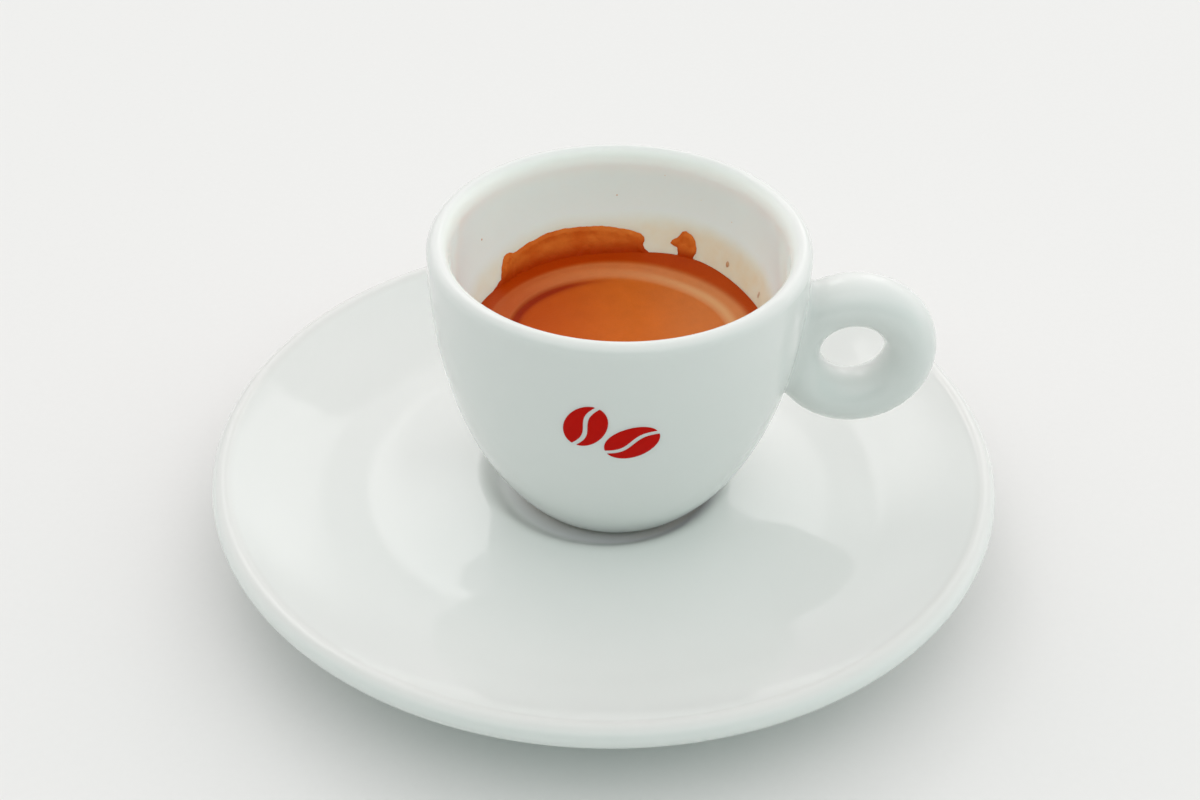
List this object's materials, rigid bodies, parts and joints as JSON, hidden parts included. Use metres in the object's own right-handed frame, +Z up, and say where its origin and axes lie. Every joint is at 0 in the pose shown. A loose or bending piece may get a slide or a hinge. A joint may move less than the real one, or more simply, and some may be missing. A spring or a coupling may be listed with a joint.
{
  "type": "espresso shot",
  "caption": "Espresso shot with tan crema in a thick porcelain cup with a round ring handle, standing in the well of its broad saucer.",
  "frame": {"origin": "on the saucer's axis, at the table under the saucer's foot ring", "axes": "+Z up, +X from the saucer's middle towards the cup's handle, -Y towards the front of the cup"},
  "size_m": [0.125, 0.125, 0.0557],
  "materials": {
    "saucer_porcelain": "smooth white glaze, unglazed under the foot ring",
    "cup_porcelain": "smooth white glaze, with a small red ornament of coffee beans on the front",
    "crema": "fine foam on coffee, with a soft wet sheen"
  },
  "bodies": {
    "root": {"saucer": "saucer_porcelain", "cup": "cup_porcelain", "espresso": "crema"}
  },
  "joints": []
}
